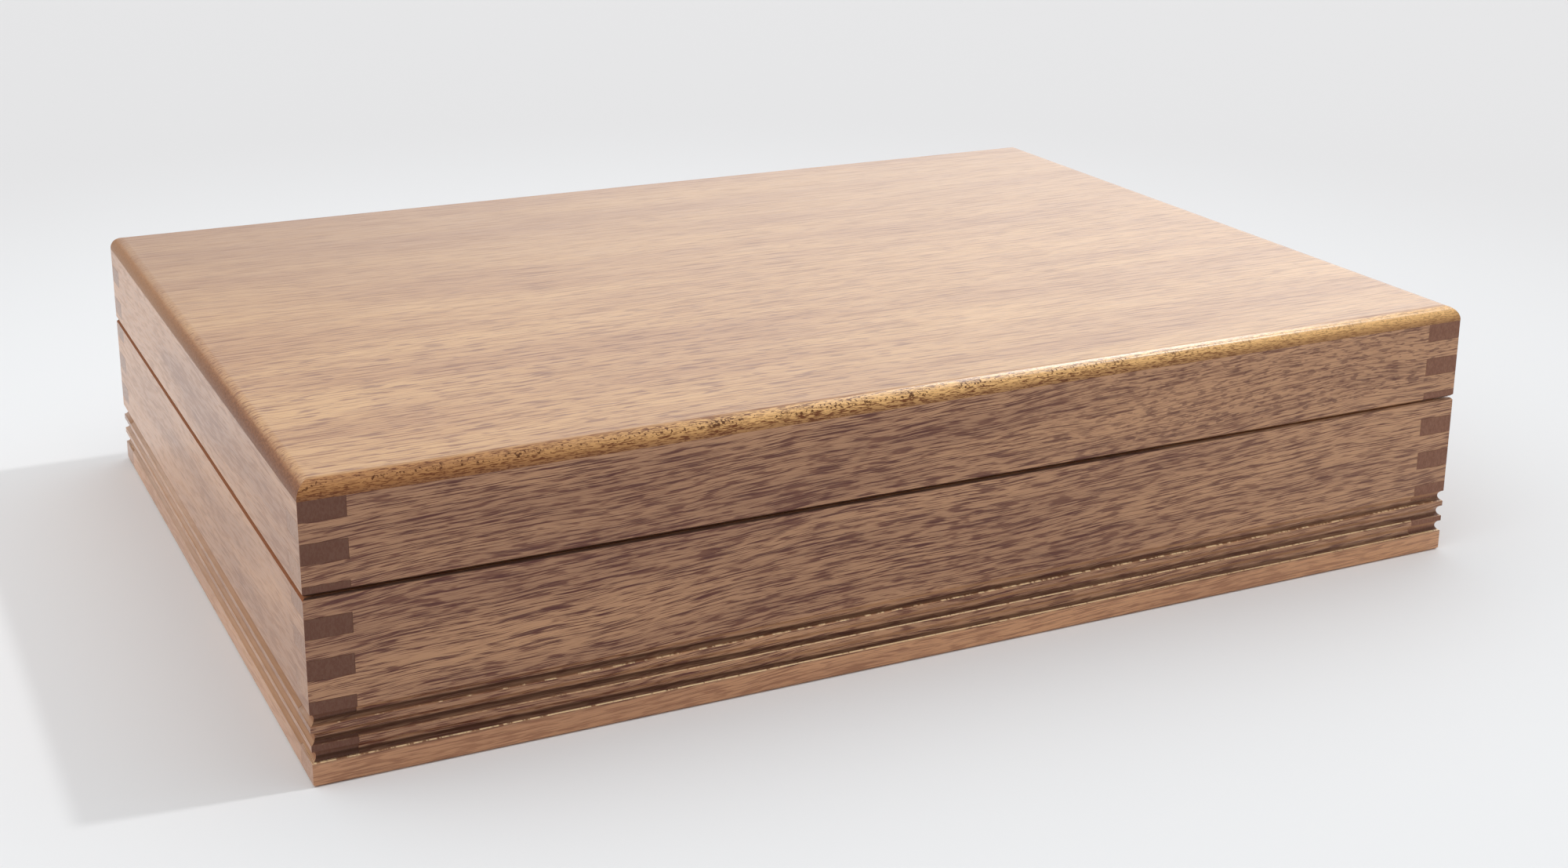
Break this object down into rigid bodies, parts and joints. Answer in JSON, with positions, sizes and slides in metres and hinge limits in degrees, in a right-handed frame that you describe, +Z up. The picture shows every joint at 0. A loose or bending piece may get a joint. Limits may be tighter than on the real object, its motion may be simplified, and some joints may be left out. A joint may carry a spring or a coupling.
{
  "type": "flatware chest",
  "caption": "Low finger-jointed mahogany chest with a hinged lid, cloth lining and notched rails for storing table flatware.",
  "frame": {"origin": "middle of the underside of the base, on the surface that the chest stands on", "axes": "+X along the front to the right, +Y from the front to the hinged back, +Z up"},
  "size_m": [0.406, 0.2975, 0.0904],
  "materials": {
    "mahogany": "satin lacquer over open grain",
    "plywood": "mahogany veneered plywood, satin lacquer",
    "lining_cloth": "napped cloth over card",
    "flocked_rail": "wood covered in napped cloth",
    "brass": "polished"
  },
  "bodies": {
    "base": {"base_front_board": "mahogany", "base_back_board": "mahogany", "base_left_board": "mahogany", "base_right_board": "mahogany", "base_bottom_panel": "plywood", "base_front_lining": "lining_cloth", "base_back_lining": "lining_cloth", "base_left_lining": "lining_cloth", "base_right_lining": "lining_cloth", "base_floor_pad": "lining_cloth", "front_rack_rail": "flocked_rail", "back_rack_rail": "flocked_rail", "left_hinge_base_leaf": "brass", "left_hinge_pin": "brass", "right_hinge_base_leaf": "brass", "right_hinge_pin": "brass", "base_hinge_screws": "brass"},
    "lid": {"lid_front_board": "mahogany", "lid_back_board": "mahogany", "lid_left_board": "mahogany", "lid_right_board": "mahogany", "lid_top_panel": "plywood", "lid_front_lining": "lining_cloth", "lid_back_lining": "lining_cloth", "lid_left_lining": "lining_cloth", "lid_right_lining": "lining_cloth", "lid_pad": "lining_cloth", "knife_handle_rail": "flocked_rail", "knife_blade_rail": "flocked_rail", "left_hinge_lid_leaf": "brass", "right_hinge_lid_leaf": "brass", "lid_hinge_screws": "brass"}
  },
  "joints": [
    {"name": "lid_hinge", "type": "hinge", "parent": "base", "child": "lid", "pos_m": [0, 0.1489, 0.05745], "axis": [-1, 0, 0], "range_deg": [0, 100]}
  ]
}
